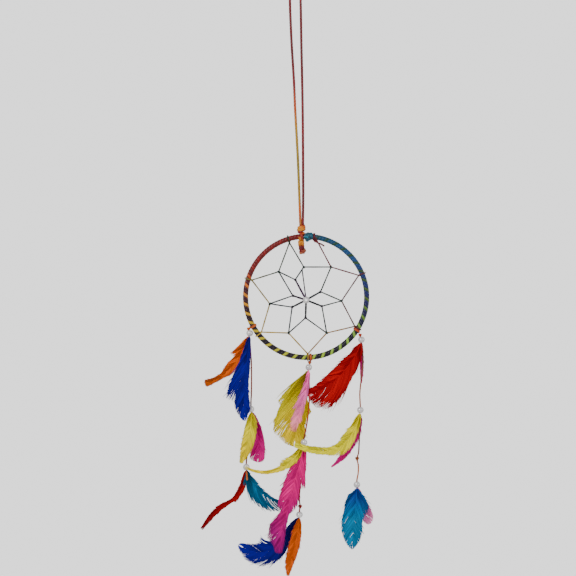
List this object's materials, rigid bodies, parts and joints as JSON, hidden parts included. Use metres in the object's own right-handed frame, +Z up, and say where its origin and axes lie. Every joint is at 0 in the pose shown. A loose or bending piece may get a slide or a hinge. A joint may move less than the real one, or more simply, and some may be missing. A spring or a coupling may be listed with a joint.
{
  "type": "dream catcher",
  "caption": "Hoop wrapped in dyed cord with a knotted thread web and a middle bead, hung by a looped cord, with beaded strings of dyed feathers tied below.",
  "frame": {"origin": "where a nail or hook bears on the inside of the hanging loop's top", "axes": "+Z up, +X to the right as seen from the front, -Y towards the viewer"},
  "size_m": [0.1518, 0.019, 0.5306],
  "materials": {
    "dark_red_cord": "satin",
    "orange_cord": "satin",
    "gold_cord": "satin",
    "navy_cord": "satin",
    "olive_cord": "satin",
    "teal_cord": "satin",
    "wire": "plain",
    "web_thread": "satin",
    "dark_thread": "satin",
    "red_thread": "satin",
    "string": "satin",
    "pearl": "pearl",
    "blue_feather": "soft",
    "orange_feather": "soft",
    "yellow_feather": "soft",
    "magenta_feather": "soft",
    "red_feather": "soft",
    "teal_feather": "soft",
    "pink_feather": "soft"
  },
  "bodies": {
    "loop": {"hanging_loop": "dark_red_cord"},
    "hitch": {"hitch_knot": "orange_cord", "hitch_tail": "gold_cord"},
    "hoop": {"hoop_core": "wire", "hoop_wrap": "navy_cord", "hoop_stripe": "olive_cord", "wrap_end_knot": "teal_cord", "web_outer": "web_thread", "web_middle": "web_thread", "web_inner": "dark_thread", "web_ties": "red_thread", "web_start_knot": "red_thread", "web_bead": "pearl", "left_tie": "orange_cord", "centre_tie": "red_thread", "right_tie": "red_thread"},
    "left_top": {"left_knot": "orange_cord", "left_bead_1": "pearl", "left_blue_feather": "blue_feather", "left_orange_feather": "orange_feather"},
    "left_middle": {"left_string_1": "string", "left_bead_2": "pearl", "left_yellow_feather": "yellow_feather", "left_magenta_feather": "magenta_feather"},
    "left_lower": {"left_string_2": "string", "left_bead_3": "pearl", "left_red_feather": "red_feather", "left_teal_feather": "teal_feather", "left_tail": "orange_cord"},
    "centre_top": {"centre_knot": "red_thread", "centre_bead_1": "pearl", "centre_pink_feather": "pink_feather", "centre_yellow_feather": "yellow_feather"},
    "centre_middle": {"centre_string_1": "string", "centre_bead_2": "pearl", "centre_gold_feather": "yellow_feather", "centre_magenta_feather": "magenta_feather"},
    "centre_lower": {"centre_string_2": "string", "centre_bead_3": "pearl", "centre_orange_feather": "orange_feather", "centre_blue_feather": "blue_feather", "centre_string_knot": "red_thread"},
    "right_top": {"right_knot": "red_thread", "right_bead_1": "pearl", "right_red_feather": "red_feather", "right_pink_feather": "pink_feather"},
    "right_middle": {"right_string_1": "string", "right_bead_2": "pearl", "right_yellow_feather": "yellow_feather", "right_magenta_feather": "magenta_feather"},
    "right_lower": {"right_string_2": "string", "right_bead_3": "pearl", "right_teal_feather": "teal_feather", "right_rose_feather": "pink_feather", "right_string_knot": "string"}
  },
  "joints": [
    {"name": "hitch_twist", "type": "hinge", "parent": "loop", "child": "hitch", "pos_m": [0.0057, 0, -0.22365], "axis": [0, 0, 1], "range_deg": [-180, 180]},
    {"name": "hoop_tilt", "type": "hinge", "parent": "hitch", "child": "hoop", "pos_m": [0.006, 0, -0.22365], "axis": [1, 0, 0], "range_deg": [-25, 25]},
    {"name": "left_swing", "type": "hinge", "parent": "hoop", "child": "left_top", "pos_m": [-0.03771, 0, -0.30434], "axis": [1, 0, 0], "range_deg": [-40, 40]},
    {"name": "left_upper_sway", "type": "hinge", "parent": "left_top", "child": "left_middle", "pos_m": [-0.0408, 0, -0.3137], "axis": [0, 1, 0], "range_deg": [-15, 15]},
    {"name": "left_lower_sway", "type": "hinge", "parent": "left_middle", "child": "left_lower", "pos_m": [-0.0396, 0, -0.382], "axis": [0, 1, 0], "range_deg": [-15, 15]},
    {"name": "centre_swing", "type": "hinge", "parent": "hoop", "child": "centre_top", "pos_m": [0.01399, 0, -0.33235], "axis": [1, 0, 0], "range_deg": [-40, 40]},
    {"name": "centre_upper_sway", "type": "hinge", "parent": "centre_top", "child": "centre_middle", "pos_m": [0.0124, 0, -0.3444], "axis": [0, 1, 0], "range_deg": [-10, 15]},
    {"name": "centre_lower_sway", "type": "hinge", "parent": "centre_middle", "child": "centre_lower", "pos_m": [0.0081, 0, -0.412], "axis": [0, 1, 0], "range_deg": [-15, 15]},
    {"name": "right_swing", "type": "hinge", "parent": "hoop", "child": "right_top", "pos_m": [0.0555, 0, -0.308], "axis": [1, 0, 0], "range_deg": [-40, 40]},
    {"name": "right_upper_sway", "type": "hinge", "parent": "right_top", "child": "right_middle", "pos_m": [0.0598, 0, -0.3195], "axis": [0, 1, 0], "range_deg": [-15, 10]},
    {"name": "right_lower_sway", "type": "hinge", "parent": "right_middle", "child": "right_lower", "pos_m": [0.0588, 0, -0.3828], "axis": [0, 1, 0], "range_deg": [-15, 15]}
  ]
}
